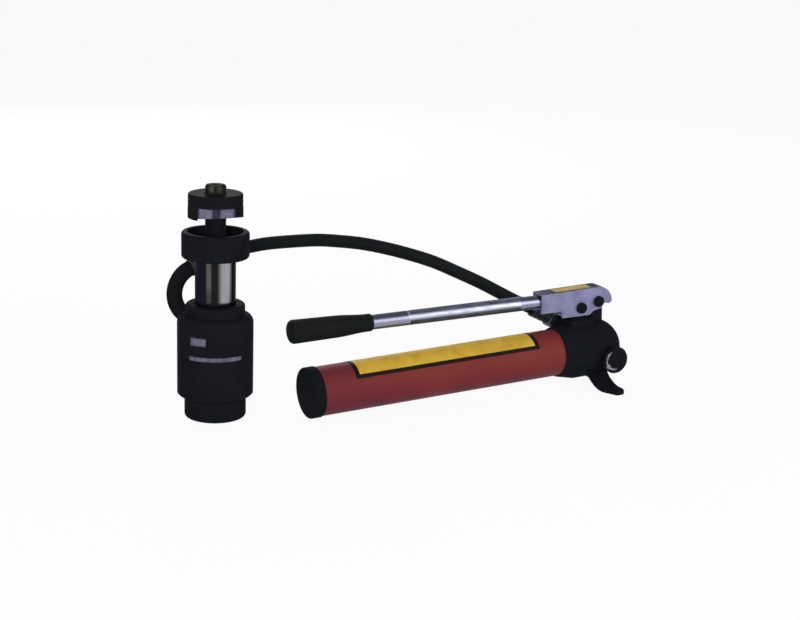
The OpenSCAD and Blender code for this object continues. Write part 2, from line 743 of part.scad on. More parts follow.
module pump_head() {
  back = tube_l + socket;
  color(black) pump_frame() difference() {
    union() {
      // flared body with a round nose
      translate([tube_l, 0, 0]) along_x() rotate_extrude() polygon(concat(
        [[0, 0], [flare_r, 0], [head_r, flare_l]], arc(0, head_l - head_r, head_r, 0, 90, 16)));
      // block round the plunger's gland
      translate([plunger_x - block_l / 2, -block_w / 2, 0]) cube([block_l, block_w, head_r + block_up]);
      // boss of the release valve
      translate([knob_x, 0, knob_z]) along_near() cylinder(r = release_r + release_boss, h = release_face);
      // fulcrum lug
      translate([0, lug_w / 2, 0]) rotate([90, 0, 0]) linear_extrude(lug_w) union() {
        translate([pivot_x, pivot_z]) circle(r = lug_r);
        translate([pivot_x - lug_r, 0]) square([2 * lug_r, pivot_z]);
      }
      // outlet boss
      along_outlet() translate([0, 0, -outlet_r * 2]) cylinder(r = outlet_r, h = outlet_r * 2);
    }
    // annular seat of the reservoir tube, with a spigot left inside it
    translate([tube_l - over, 0, 0]) along_x() ring(tube_in - fit, tube_r + fit, socket + over + fit);
    translate([back - spigot_len / 2 - oring, 0, 0]) along_x() ring(tube_in - oring, tube_in, oring);
    translate([tube_l - over, 0, 0]) along_x() cylinder(r = tie_r + fit, h = socket + tie_in + over);
    // pump chamber and the gland above it
    translate([plunger_x, 0, chamber_z]) cylinder(r = plunger_r + run, h = 2 * head_r);
    translate([plunger_x, 0, gland_z - gland_in]) cylinder(r = gland_r + fit, h = head_r);
    // suction valve under the chamber
    translate([plunger_x, 0, suction_z]) cylinder(r = suction_r, h = chamber_z - suction_z + over);
    translate([tube_l - over, 0, suction_z]) along_x() cylinder(r = suction_r, h = pipe_end - tube_l + over);
    translate([back, 0, suction_z]) along_x() cylinder(r = valve_hole_r, h = plunger_x - back);
    // delivery valve, from the nose to the chamber
    translate([valve_x, 0, valve_z]) along_x() cylinder(r = valve_r + fit, h = head_l);
    translate([plunger_x, 0, valve_z]) along_x() cylinder(r = valve_hole_r, h = valve_x - plunger_x + over);
    // relief valve
    translate([relief_x, 0, relief_z]) along_x() cylinder(r = relief_r + fit, h = head_l);
    // release spindle and its gland
    translate([knob_x, -spindle_tip, knob_z]) along_near() cylinder(r = spindle_r + run, h = head_d);
    translate([knob_x, -release_face, knob_z]) along_near()
      cylinder(r = release_r + release_boss, h = head_d);
    // fulcrum pin
    translate([pivot_x, channel_w, pivot_z]) along_near() cylinder(r = pin_r + fit, h = 2 * channel_w);
    // outlet, with a spot face round it
    along_outlet() cylinder(r = outlet_r + over, h = 2 * outlet_r);
    along_outlet() translate([0, 0, -outlet_stub_l]) cylinder(r = outlet_stub_r + fit, h = 2 * outlet_stub_l);
    along_outlet() translate([0, 0, -2 * outlet_r]) cylinder(r = valve_hole_r, h = 2 * outlet_r);
    // seat and screws of the feet
    translate([foot_x - fit, 0, 0]) difference() {
      along_x() rotate([0, 0, 90]) linear_extrude(foot_w + 2 * fit) foot_side(fit);
      translate([-over, 0, 0]) along_x() cylinder(r = foot_seat_r, h = foot_w + 2 * over + 2 * fit);
    }
    for (y = [-screw_y, screw_y]) translate([screw_x, y, -head_d])
      cylinder(r = screw_r + fit, h = head_d - head_r + screw_l);
  }
}
// Both feet and the saddle between them, seen along the pump; grow widens their upper sides
module foot_side(grow) {
  half = concat(arc(foot_curve.x, foot_curve.y, foot_curve_r - grow, foot_curve_turn, 270, 12),
    arc(foot_tip.x, foot_tip.y, foot_tip_r, 90, -90),
    arc(foot_belly.x, foot_belly.y, foot_belly_r, 270, foot_belly_turn, 12));
  polygon(concat(half, [for (i = [len(half) - 1:-1:0]) [-half[i].x, half[i].y]]));
}
module stand_foot() {
  color(black) difference() {
    pump_frame() difference() {
      translate([foot_x, 0, 0]) along_x() rotate([0, 0, 90]) linear_extrude(foot_w) foot_side(0);
      translate([tube_l, 0, 0]) along_x() cylinder(r = foot_seat_r + foot_seat, h = 2 * head_l);
      // the toes narrow towards round ends, seen from above
      for (side = [0, 1]) mirror([0, side, 0]) translate([foot_x, 0, -head_d]) linear_extrude(head_d)
        difference() {
          translate([-over, toe_y]) square([foot_w + 2 * over, foot_reach]);
          polygon(concat([[0, toe_y - over], [0, toe_y]], arc(toe_back, toe_y, toe_back, 180, toe_turn),
            arc(foot_w - toe_r, foot_reach - toe_r, toe_r, toe_turn, 0), [[foot_w, toe_y - over]]));
        }
      // the lower edges are round along both sides
      for (side = [0, 1]) translate([foot_x + side * foot_w, 0, -foot_low]) mirror([side, 0, 0])
        rotate([90, 0, 0]) linear_extrude(4 * head_d, center = true) difference() {
          translate([-over, -over]) square(foot_edge_r + over);
          translate([foot_edge_r, foot_edge_r]) circle(foot_edge_r);
        }
      for (y = [-screw_y, screw_y]) translate([screw_x, y, -head_d]) {
        cylinder(r = screw_r + fit, h = head_d);
        cylinder(r = screw_head_r + fit, h = head_d - head_r + screw_head_t);
      }
    }
    // the tips stand flat on the floor
    translate([0, -2 * head_d + pump_y, -head_d]) cube([2 * head_end, 4 * head_d, head_d]);
  }
}
module foot_screws() {
  color(steel) pump_frame() for (y = [-screw_y, screw_y]) translate([screw_x, y, -head_r]) difference() {
    union() {
      cylinder(r = screw_head_r, h = screw_head_t);
      cylinder(r = screw_r, h = screw_l);
    }
    translate([0, 0, -over]) hex_bar(screw_head_r, over + screw_head_t / 2);
  }
}
module release_gland() {
  color(steel) pump_frame() translate([knob_x, -release_face, knob_z]) along_near() difference() {
    rotate_extrude() polygon([[spindle_r + run, 0], [release_r, 0], [release_r, release_t - edge],
      [release_r - edge, release_t], [spindle_r + run, release_t]]);
    translate([0, 0, edge]) ring(spindle_r, spindle_seal_r, spindle_seal_w);
  }
}
module spindle_seal() {
  color(rubber) pump_frame() translate([knob_x, -release_face - edge - fit, knob_z]) along_near()
    ring(spindle_r + run, spindle_seal_r - fit, spindle_seal_w - 2 * fit);
}
module release_spindle() {
  color(steel) pump_frame() translate([knob_x, -spindle_tip - gap, knob_z]) along_near() {
    cylinder(r1 = spindle_r / 2, r2 = spindle_r, h = spindle_r);
    translate([0, 0, spindle_r])
      cylinder(r = spindle_r, h = knob_y + knob_t / 2 - spindle_tip - gap - spindle_r);
  }
}
module release_knob() {
  color(black) pump_frame() translate([knob_x, -knob_y, knob_z]) along_near() difference() {
    rounded_disc(knob_d / 2, knob_t, knob_round);
    translate([0, 0, -over]) cylinder(r = spindle_r + fit, h = knob_t / 2 + over + fit);
    for (i = [1:knob_flutes]) rotate([0, 0, 360 * i / knob_flutes])
      translate([knob_d / 2 + flute_r / 2, 0, -over]) cylinder(r = flute_r, h = knob_t + 2 * over, $fn = 24);
  }
}

module plunger() {
  half = pin_swing + gap;
  color(steel) pump_frame() difference() {
    union() {
      translate([plunger_x, 0, plunger_low]) cylinder(r = plunger_r, h = pin_z - plunger_low);
      // eye with room for the pin's sideways travel
      translate([plunger_x, eye_w / 2, pin_z]) rotate([90, 0, 0]) linear_extrude(eye_w) union() {
        for (s = [-half, half]) translate([s, 0]) circle(r = eye_r);
        translate([-half, -eye_r]) square([2 * half, 2 * eye_r]);
      }
    }
    translate([plunger_x, channel_w, pin_z]) rotate([90, 0, 0]) linear_extrude(2 * channel_w) union() {
      for (s = [-half, half]) translate([s, 0]) circle(r = pin_r + slot_play);
      translate([-half, -pin_r - slot_play]) square([2 * half, 2 * (pin_r + slot_play)]);
    }
  }
}
module gland_nut() {
  color(steel) pump_frame() translate([plunger_x, 0, gland_z]) difference() {
    union() {
      translate([0, 0, -gland_in + fit]) cylinder(r = gland_r, h = gland_in);
      rotate([0, 0, 30]) hex_bar(gland_hex, gland_out);
    }
    translate([0, 0, -gland_in - over]) cylinder(r = plunger_r + run, h = gland_in + gland_out + 2 * over);
    translate([0, 0, -gland_in + plunger_seal_w])
      ring(plunger_r - over, plunger_r + plunger_seal_t, plunger_seal_w);
  }
}
module plunger_seal() {
  color(rubber) pump_frame() translate([plunger_x, 0, gland_z - gland_in + plunger_seal_w + fit])
    ring(plunger_r + run, plunger_r + plunger_seal_t - fit, plunger_seal_w - 2 * fit);
}
module suction_ball() {
  color(steel) pump_frame() translate([plunger_x, 0, suction_z + suction_ball_r + fit])
    sphere(r = suction_ball_r);
}
module delivery_ball() {
  color(steel) pump_frame() translate([valve_x + ball_r + fit, 0, valve_z]) sphere(r = ball_r);
}
module delivery_spring() {
  color(steel) pump_frame() translate([valve_x + 2 * ball_r + 2 * fit, 0, valve_z]) along_x()
    coil(ball_r - valve_spring_wire, valve_spring_wire, 0, valve_spring_l, valve_spring_turns);
}
module valve_plug() {
  from = valve_x + 2 * ball_r + 3 * fit + valve_spring_l;
  color(steel) pump_frame() translate([from, 0, valve_z]) along_x() difference() {
    cylinder(r = valve_r, h = valve_plug_l);
    translate([0, 0, valve_plug_l - hex_socket]) hex_bar(hex_socket, hex_socket + over);
  }
}
module relief_screw() {
  color(steel) pump_frame() translate([relief_x + fit, 0, relief_z]) along_x() difference() {
    cylinder(r = relief_r, h = relief_l - hex_socket);
    translate([0, 0, relief_l - 2 * hex_socket]) hex_bar(hex_socket - edge, hex_socket + over);
  }
}

// Side outline of the lever channel, drawn round the fulcrum
module channel_side() {
  translate([pivot_x, pivot_z]) polygon(concat(
    [[-channel_back, -channel_low]], channel_edge,
    arc(nose_at.x, nose_at.y, channel_nose, 0, nose_turn), [[-channel_back, channel_top]]));
}
// The channel's inside, open below and at the rear
module channel_inside() {
  translate([pivot_x, pivot_z]) polygon(concat(
    [[-channel_back - over, -2 * channel_nose], [nose_at.x + channel_nose - sheet, -2 * channel_nose]],
    arc(nose_at.x, nose_at.y, channel_nose - sheet, 0, nose_turn),
    [[-channel_back - over, channel_top - sheet]]));
}
module lever_channel() {
  color(steel) pump_frame() difference() {
    translate([0, channel_w / 2, 0]) rotate([90, 0, 0]) linear_extrude(channel_w) channel_side();
    translate([0, inner_w / 2, 0]) rotate([90, 0, 0]) linear_extrude(inner_w) channel_inside();
    for (p = [[pivot_x, pivot_z, run], [pin_x, pin_z, fit]])
      translate([p.x, channel_w, p.y]) along_near() cylinder(r = pin_r + p.z, h = 2 * channel_w);
  }
}
// Headed pin across the channel, with a groove for its clip
module headed_pin() {
  half = channel_w / 2 + gap;
  translate([0, half + clip_t + gap + pin_tail, 0]) along_near() difference() {
    union() {
      cylinder(r = pin_r, h = 2 * half + clip_t + gap + pin_tail);
      translate([0, 0, 2 * half + clip_t + gap + pin_tail - fit]) cylinder(r = pin_head_r, h = pin_head_t);
    }
    translate([0, 0, pin_tail]) ring(neck_r, pin_r + over, clip_t);
  }
}
// Open retaining clip in the pin's groove
module clip() {
  translate([0, channel_w / 2 + 2 * gap + clip_t - fit, 0]) along_near() difference() {
    ring(neck_r + fit, clip_r, clip_t - 2 * fit);
    translate([-neck_r + edge, 0, -over]) cube([2 * (neck_r - edge), clip_r + over, clip_t + 2 * over]);
  }
}
module fulcrum_pin() {
  color(black) pump_frame() translate([pivot_x, 0, pivot_z]) headed_pin();
}
module fulcrum_clip() {
  color(steel) pump_frame() translate([pivot_x, 0, pivot_z]) clip();
}
module plunger_pin() {
  color(black) pump_frame() translate([pin_x, 0, pin_z]) headed_pin();
}
module plunger_clip() {
  color(steel) pump_frame() translate([pin_x, 0, pin_z]) clip();
}
module handle_rod() {
  color(chrome) pump_frame() along_handle() {
    cylinder(r = rod_handle_d / 2, h = handle_tube_from - fit);
    cylinder(r = rod_tail_r, h = handle_tube_from + rod_in_tube);
  }
}
module handle_tube() {
  color(chrome) pump_frame() along_handle() translate([0, 0, handle_tube_from]) difference() {
    cylinder(r = handle_d / 2, h = handle_end - handle_tube_from - grip_wall_end);
    translate([0, 0, -over]) cylinder(r = rod_tail_r + fit, h = handle_l);
  }
}
module grip() {
  from = handle_end - grip_l;
  r = grip_d / 2;
  front = grip_front_d / 2;
  // neck, smooth swell and rounded end
  color(rubber) pump_frame() along_handle() rotate_extrude() polygon(concat(
    [[handle_d / 2 + fit, from], [front - edge, from], [front, from + edge]],
    [for (i = [0:grip_steps]) let (t = i / grip_steps)
      [front + (r - edge - front) * (1 - cos(180 * t)) / 2, from + grip_neck + grip_swell * t]],
    arc(r - grip_round, handle_end - grip_round, grip_round, 0, 90),
    [[0, handle_end], [0, handle_end - grip_wall_end + fit],
     [handle_d / 2 + fit, handle_end - grip_wall_end + fit]]));
}

head_base_cap();
head_barrel();
gland_collar();
support_sleeve();
die();
cutter();
draw_stud();
ram_piston();
piston_seal();
piston_wear_ring();
rod_seal();
rod_wiper();
gland_oring();
base_oring();
return_spring();
head_elbow();
head_stem();
head_ferrule();
hose();
pump_ferrule();
pump_swivel_nut();
pump_outlet();
reservoir_tube();
reservoir_cap();
filler_plug();
tie_rod();
suction_strainer();
tube_orings();
pump_head();
stand_foot();
foot_screws();
release_gland();
release_spindle();
spindle_seal();
release_knob();
plunger();
gland_nut();
plunger_seal();
suction_ball();
delivery_ball();
delivery_spring();
valve_plug();
relief_screw();
lever_channel();
fulcrum_pin();
fulcrum_clip();
plunger_pin();
plunger_clip();
handle_rod();
handle_tube();
grip();
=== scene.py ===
import math

import bmesh
import bpy
import numpy as np
from mathutils import Matrix, Vector


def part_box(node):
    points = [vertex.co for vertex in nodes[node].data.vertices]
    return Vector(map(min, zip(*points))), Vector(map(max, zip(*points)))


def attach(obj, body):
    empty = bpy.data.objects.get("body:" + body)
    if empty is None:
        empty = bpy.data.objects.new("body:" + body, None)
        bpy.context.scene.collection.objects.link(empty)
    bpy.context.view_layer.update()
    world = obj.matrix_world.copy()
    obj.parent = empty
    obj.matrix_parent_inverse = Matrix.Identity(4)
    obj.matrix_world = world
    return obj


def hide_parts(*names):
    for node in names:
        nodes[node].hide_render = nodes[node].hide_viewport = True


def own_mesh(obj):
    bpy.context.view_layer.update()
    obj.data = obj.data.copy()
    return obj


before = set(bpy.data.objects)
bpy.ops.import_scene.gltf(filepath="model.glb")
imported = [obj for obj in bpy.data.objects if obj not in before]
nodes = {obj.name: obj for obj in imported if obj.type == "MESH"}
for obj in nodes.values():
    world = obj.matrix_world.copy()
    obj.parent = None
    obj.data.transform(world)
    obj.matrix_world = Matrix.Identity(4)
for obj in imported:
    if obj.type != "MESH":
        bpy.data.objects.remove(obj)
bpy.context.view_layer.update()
scene = bpy.context.scene
print("frame loaded:", len(nodes), "nodes")

# camera as in the photograph, lengths in metres and angles in degrees
photoCamera = {"place": (-0.6631, -1.7513, 0.625), "azimuth": 27.4, "pitch": 14.71, "roll": 1.82,
               "focalPixels": 1635, "imageWidth": 800, "sensor": 36.0, "nearest": 0.05, "farthest": 60}


# the line of sight from azimuth and pitch, then the picture turned about it by the roll
def makeCamera(s):
    a, p, r = (math.radians(s[k]) for k in ("azimuth", "pitch", "roll"))
    right = Vector((math.cos(a), -math.sin(a), 0))
    ahead = Vector((math.cos(p) * math.sin(a), math.cos(p) * math.cos(a), -math.sin(p)))
    up = right.cross(ahead)
    rolledRight = math.cos(r) * right + math.sin(r) * up
    rolledUp = math.cos(r) * up - math.sin(r) * right
    data = bpy.data.cameras.new("photoCamera")
    data.sensor_width = s["sensor"]
    data.lens = s["sensor"] * s["focalPixels"] / s["imageWidth"]
    data.clip_start, data.clip_end = s["nearest"], s["farthest"]
    camera = bpy.data.objects.new("photoCamera", data)
    turn = Matrix((rolledRight, rolledUp, -ahead)).transposed()
    camera.matrix_world = Matrix.Translation(s["place"]) @ turn.to_4x4()
    scene.collection.objects.link(camera)
    scene.camera = camera


makeCamera(photoCamera)


# one output socket of a node tree; arithmetic on it adds Math nodes
class Wire:
    def __init__(self, tree, socket=None):
        self.tree, self.socket = tree, socket

    # a new node: its type, its settings, the values or links of its sockets, and the output that is wanted
    def node(self, kind, settings={}, inputs={}, out=0):
        made = self.tree.nodes.new(kind)
        for name, value in settings.items():
            setattr(made, name, value)
        for key, value in inputs.items():
            if isinstance(value, Wire):
                self.tree.links.new(value.socket, made.inputs[key])
            else:
                made.inputs[key].default_value = value
        return Wire(self.tree, made.outputs[out])

    def math(self, operation, a, b=0.0, clamp=False):
        return self.node("ShaderNodeMath", {"operation": operation, "use_clamp": clamp}, {0: a, 1: b})

    def __add__(self, other):
        return self.math("ADD", self, other)

    def __radd__(self, other):
        return self.math("ADD", other, self)

    def __sub__(self, other):
        return self.math("SUBTRACT", self, other)

    def __rsub__(self, other):
        return self.math("SUBTRACT", other, self)

    def __mul__(self, other):
        return self.math("MULTIPLY", self, other)

    def __rmul__(self, other):
        return self.math("MULTIPLY", other, self)

    def __truediv__(self, other):
        return self.math("DIVIDE", self, other)

    def __lt__(self, other):
        return self.math("LESS_THAN", self, other)

    def __gt__(self, other):
        return self.math("GREATER_THAN", self, other)

    def __abs__(self):
        return self.math("ABSOLUTE", self)

    # 0 below low, 1 above high, a smooth rise between
    def rise(self, low, high):
        return self.node("ShaderNodeMapRange", {"interpolation_type": "SMOOTHSTEP"},
                         {"Value": self, "From Min": low, "From Max": high})

    # brings a share of 0 to 1 into the range from floor to 1
    def atLeast(self, floor):
        return floor + (1.0 - floor) * self


def colourMix(share, a, b):
    return share.node("ShaderNodeMix", {"data_type": "RGBA"}, {0: share, 6: a, 7: b}, 2)


def rgb(r, g, b):  # screen colour 0 to 255 as a linear colour
    c = np.array((r, g, b)) / 255
    linear = np.where(c <= 0.04045, c / 12.92, ((c + 0.055) / 1.055) ** 2.4)
    return tuple(float(x) for x in linear) + (1.0,)


def startMaterial(name):
    material = bpy.data.materials.new(name)
    material.use_nodes = True
    tree = material.node_tree
    shader = tree.nodes["Principled BSDF"]
    place = Wire(tree).node("ShaderNodeTexCoord", out="Object")
    return material, shader, place


# a finish that is made already: its shader, the object's coordinates and its base colour
def opened(material):
    tree = material.node_tree
    shader = tree.nodes["Principled BSDF"]
    place = Wire(tree).node("ShaderNodeTexCoord", out="Object")
    return shader, place, Wire(tree, shader.inputs["Base Color"].links[0].from_socket)


def copied(material, name):
    twin = material.copy()
    twin.name = name
    return twin


def axes(place):  # the three coordinates of a position
    parts = place.tree.nodes.new("ShaderNodeSeparateXYZ")
    place.tree.links.new(place.socket, parts.inputs[0])
    return [Wire(place.tree, parts.outputs[i]) for i in range(3)]


def stretched(place, scale):
    return place.node("ShaderNodeMapping", {}, {"Vector": place, "Scale": scale})


def noise(place, scale, detail=4.0, rough=0.55):
    inputs = {"Vector": place, "Scale": scale, "Detail": detail, "Roughness": rough}
    return place.node("ShaderNodeTexNoise", {}, inputs)


def feed(shader, key, value):
    if isinstance(value, Wire):
        value.tree.links.new(value.socket, shader.inputs[key])
    else:
        shader.inputs[key].default_value = value


def bump(place, height, strength, depth, normal=None):
    inputs = {"Height": height, "Strength": strength, "Distance": depth}
    if normal is not None:
        inputs["Normal"] = normal
    return place.node("ShaderNodeBump", {}, inputs)


# dull light rims where the surface turns sharply, broken up by noise
wearLook = {"samples": 4, "turn": (0.02, 0.2), "grain": 260.0, "spread": (0.42, 0.7)}


def edgeWear(place, size, amount):
    soft = place.node("ShaderNodeBevel", {"samples": wearLook["samples"]}, {"Radius": size})
    sharp = place.node("ShaderNodeNewGeometry", out="Normal")
    along = place.node("ShaderNodeVectorMath", {"operation": "DOT_PRODUCT"}, {0: soft, 1: sharp}, "Value")
    broken = noise(place, wearLook["grain"]).rise(*wearLook["spread"])
    return soft, (1.0 - along).rise(*wearLook["turn"]) * broken * amount


# paint or oxide: base colour, slightly cloudy, with a fine skin and worn edges
def coatedMetal(name, s):
    material, shader, place = startMaterial(name)
    cloud = noise(place, s["cloudScale"]).rise(*s["cloudSpread"])
    skin = noise(place, s["skinScale"], s["skinDetail"])
    soft, worn = edgeWear(place, s["edge"], s["wear"])
    colour = colourMix(cloud, s["colour"], s["shade"])
    feed(shader, "Base Color", colourMix(worn, colour, s["bare"]))
    feed(shader, "Roughness", s["rough"] + s["cloudRough"] * cloud + s["skinRough"] * skin)
    feed(shader, "Normal", bump(place, skin, s["skin"], s["skinDepth"], soft))
    feed(shader, "Specular IOR Level", s["gloss"])
    return material


# plated or ground steel: metallic, cloudy, with fine lines along one axis
def plainSteel(name, s):
    material, shader, place = startMaterial(name)
    lines = noise(stretched(place, s["lineScale"]), 1.0, s["lineDetail"])
    cloud = noise(place, s["cloudScale"]).rise(*s["cloudSpread"])
    soft, worn = edgeWear(place, s["edge"], s["wear"])
    colour = colourMix(cloud, s["colour"], s["shade"])
    feed(shader, "Base Color", colourMix(worn, colour, s["bare"]))
    feed(shader, "Metallic", s["metal"])
    feed(shader, "Roughness", s["rough"] + s["lineRough"] * lines + s["cloudRough"] * cloud)
    feed(shader, "Normal", bump(place, lines, s["skin"], s["lineDepth"], soft))
    return material


black = {"colour": rgb(20, 22, 26), "shade": rgb(24, 26, 30), "bare": rgb(52, 53, 60), "edge": 0.0008,
         "wear": 0.5, "rough": 0.42, "gloss": 0.003, "cloudScale": 30.0, "cloudSpread": (0.3, 0.75),
         "cloudRough": 0.12, "skin": 0.08, "skinScale": 900.0, "skinDetail": 3.0, "skinRough": 0.1,
         "skinDepth": 0.0004}
bodyBlack = coatedMetal("bodyBlack", black)
oxideBlack = coatedMetal("oxideBlack", {**black, "rough": 0.36, "gloss": 0.002, "wear": 0.6,
                                        "skinScale": 1500.0})
castBlack = coatedMetal("castBlack", {**black, "rough": 0.45, "skin": 0.35, "skinScale": 650.0})
rubber = coatedMetal("rubber", {**black, "colour": rgb(18, 20, 21), "shade": rgb(23, 25, 26), "rough": 0.6,
                                "wear": 0.1, "skin": 0.3, "skinScale": 1200.0, "gloss": 0.04})

steel = {"colour": rgb(120, 122, 128), "shade": rgb(88, 91, 98), "bare": rgb(190, 192, 198), "edge": 0.0006,
         "wear": 0.7, "rough": 0.3, "metal": 1.0, "cloudScale": 45.0, "cloudSpread": (0.3, 0.75),
         "cloudRough": 0.1, "lineScale": (900.0, 900.0, 900.0), "lineDetail": 3.0, "lineRough": 0.14,
         "lineDepth": 0.0002, "skin": 0.1}
fittingSteel = plainSteel("fittingSteel", {**steel, "colour": rgb(98, 102, 109), "shade": rgb(66, 69, 75)})
innerSteel = plainSteel("innerSteel", {**steel, "colour": rgb(165, 167, 172), "shade": rgb(135, 138, 144)})
crimpSteel = plainSteel("crimpSteel", {**steel, "colour": rgb(34, 37, 41), "shade": rgb(25, 27, 30),
                                       "bare": rgb(74, 77, 82), "metal": 0.4, "rough": 0.5})
bronze = plainSteel("bronze", {**steel, "colour": rgb(176, 143, 84), "shade": rgb(140, 108, 60),
                               "rough": 0.45})
print("common finishes made")


# soft bright bands at set angles: centre, half width in radians, strength; edge is the soft share of a band
def angleBands(angle, bands, edge=0.6):
    light = None
    for centre, width, amount in bands:
        band = (1.0 - (abs(angle - centre) / width)).rise(0.0, edge) * amount
        light = band if light is None else angle.math("MAXIMUM", light, band)
    return light


# polished sleeve with painted reflections: dark and bright bands round the frame's Z axis, two of them warm,
# under fine drawn lines; its foot is darker, a painted reflection of the black collar
sleeveLook = {"bright": rgb(152, 152, 162), "paintedWarmLight": rgb(140, 138, 122), "paintedReflectionDark": rgb(25, 27, 32),
              "edgeTint": (0.5, 0.5, 0.52, 1.0), "rough": 0.22, "lineScale": (420.0, 420.0, 12.0),
              "lineRough": 0.15, "lineBump": (0.05, 0.0002), "leastLight": 0.7, "lineLight": 0.5,
              "foot": (0.1415, 0.1450), "wholeAbove": (0.1500, 0.1680), "thinFloor": 0.45,
              "thinBand": [(-2.267, 0.17, 0.36)], "warmBands": [(-2.267, 0.3, 1.0), (-1.78, 0.2, 1.0)],
              "bands": [(-1.418, 0.44, 1.0), (-0.2, 0.3, 0.7), (1.1, 0.5, 1.0), (2.5, 0.3, 0.7)]}


def sleeveFinish(s):
    material, shader, place = startMaterial("polishedSleeve")
    x, y, z = axes(place)
    angle = place.math("ARCTAN2", y, x)
    lines = noise(stretched(place, s["lineScale"]), 1.0)
    # painted reflections: bright and dark bands at set angles round the axis, darker at the foot where the
    # black collar would be mirrored
    thin = angleBands(angle, s["thinBand"]) * z.rise(*s["wholeAbove"]).atLeast(s["thinFloor"])
    light = place.math("MAXIMUM", angleBands(angle, s["bands"]), thin)
    light = light * (s["leastLight"] + s["lineLight"] * lines) * z.rise(*s["foot"])
    # a warm tint in two of the painted reflection bands
    bright = colourMix(angleBands(angle, s["warmBands"]), s["bright"], s["paintedWarmLight"])
    feed(shader, "Base Color", colourMix(light, s["paintedReflectionDark"], bright))
    feed(shader, "Metallic", 1.0)
    feed(shader, "Specular Tint", s["edgeTint"])
    feed(shader, "Roughness", s["rough"] + s["lineRough"] * lines)
    feed(shader, "Normal", bump(place, lines, *s["lineBump"]))
    return material


# cutter: black oxide with ground faces in its two windows, bright in their middle and with painted shade
# towards their ends
cutterLook = {"turn": 17.0, "halfBar": 0.0153, "halfWindow": 0.0219, "top": 0.2557, "middle": 0.0125,
              "reach": 0.0094, "softEnd": 0.4, "ground": rgb(100, 97, 118), "paintedEndShade": rgb(46, 45, 58),
              "grain": 330.0, "spread": (0.38, 0.6), "leastWindowLight": 0.7, "lineScale": (300.0, 300.0, 1500.0),
              "rough": 0.34, "lineRough": 0.2}


def cutterFinish(s):
    material = copied(oxideBlack, "cutterBlack")
    shader, place, base = opened(material)
    turn = (0, 0, math.radians(s["turn"]))
    turned = place.node("ShaderNodeMapping", {}, {"Vector": place, "Rotation": turn})
    x, y, z = (abs(w) for w in axes(turned))
    ground = (y < s["halfBar"]) * (x < s["halfWindow"]) * (z < s["top"])
    lines = noise(stretched(place, s["lineScale"]), 1.0)
    # painted shade: the ground faces darken towards their ends, mottled by noise
    windowLight = (1.0 - abs(x - s["middle"]) / s["reach"]).rise(0.0, s["softEnd"])
    windowLight = windowLight * noise(place, s["grain"]).rise(*s["spread"]).atLeast(s["leastWindowLight"])
    feed(shader, "Base Color", colourMix(ground, base, colourMix(windowLight, s["paintedEndShade"], s["ground"])))
    feed(shader, "Metallic", ground)
    feed(shader, "Roughness", s["rough"] + s["lineRough"] * lines)
    return material


# plated handle with painted reflections: light and dark bands round its axis, which climbs by slope, broken
# by drawn streaks; a stretch has a blank, scuffed band with painted highlights of its own
handleLook = {"bright": rgb(141, 143, 163), "paintedReflectionDark": rgb(62, 62, 82), "axisY": -0.052, "axisZ": 0.1073,
              "slope": 0.0193, "rough": 0.3, "streakLong": 6.0, "streakRound": 2.6, "streakDetail": 3.0,
              "streakRough": 0.12, "leastLight": 0.75, "streakLight": 0.4, "ring": 0.0012, "ringShare": 0.4,
              "bandFrom": 0.227, "bandTo": 0.384, "bandBright": rgb(172, 175, 192),
              "bandDark": rgb(62, 64, 80), "scuffScale": (45.0, 330.0, 330.0), "scuffDetail": 3.0,
              "scuffSpread": (0.36, 0.68), "scuffDims": 0.3, "scuffLifts": 0.14, "scuffRough": 0.15,
              "scuffBump": (0.1, 0.0002),
              "bands": [(-0.05, 0.85, 1.0), (1.84, 0.3, 0.4), (2.8, 0.3, 0.9), (-2.3, 0.6, 0.9)],
              "bandHighlightBands": [(0.28, 0.5, 1.0), (2.6, 0.5, 0.9), (-1.9, 0.6, 0.8)]}


# the angle round an axis that lies along X and climbs by slope: 0 to the front, a quarter turn at the top
def angleRound(place, s):
    x, y, z = axes(place)
    return x, place.math("ARCTAN2", z - s["axisZ"] - s["slope"] * x, s["axisY"] - y)


def handleFinish(s):
    material, shader, place = startMaterial("platedHandle")
    x, angle = angleRound(place, s)
    drawn = place.node("ShaderNodeCombineXYZ", {}, {0: x * s["streakLong"], 1: angle * s["streakRound"]})
    drawn = noise(drawn, 1.0, s["streakDetail"])
    # painted reflections: light and dark bands round the handle's axis, broken by drawn streaks
    light = angleBands(angle, s["bands"]) * (s["leastLight"] + s["streakLight"] * drawn)
    shine = angleBands(angle, s["bandHighlightBands"])
    band = (x > s["bandFrom"]) * (x < s["bandTo"])
    worn = noise(stretched(place, s["scuffScale"]), 1.0, s["scuffDetail"]).rise(*s["scuffSpread"])
    # painted highlights of the band, dimmed and lifted by the scuffs
    bandLight = shine * (1.0 - s["scuffDims"] * worn) + s["scuffLifts"] * worn * (1.0 - shine)
    ring = (abs(x - s["bandFrom"]) < s["ring"]) * s["ringShare"]
    plain = colourMix(light, s["paintedReflectionDark"], s["bright"])
    scuffed = colourMix(bandLight, s["bandDark"], s["bandBright"])
    feed(shader, "Base Color", colourMix(ring, colourMix(band, plain, scuffed), s["bandBright"]))
    feed(shader, "Metallic", 1.0)
    feed(shader, "Roughness", s["rough"] + s["streakRough"] * drawn + s["scuffRough"] * band * worn)
    feed(shader, "Normal", bump(place, band * worn, *s["scuffBump"]))
    return material


# black knob with a painted highlight on its face: a bright crescent between two shares of its radius, and a
# bright spot at its lower left
knobLook = {"centre": (0.504357, 0.041754), "radius": 0.0175, "inner": (0.58, 0.66), "outer": (0.71, 0.80),
            "lean": 0.4, "leftFrom": (-0.05, 0.4), "bare": rgb(140, 140, 156), "grain": 420.0,
            "spread": (0.36, 0.54), "spot": (-0.0088, -0.0082), "spotSize": (0.0022, 0.0038),
            "spotGrain": 560.0, "spotSpread": (0.4, 0.56)}


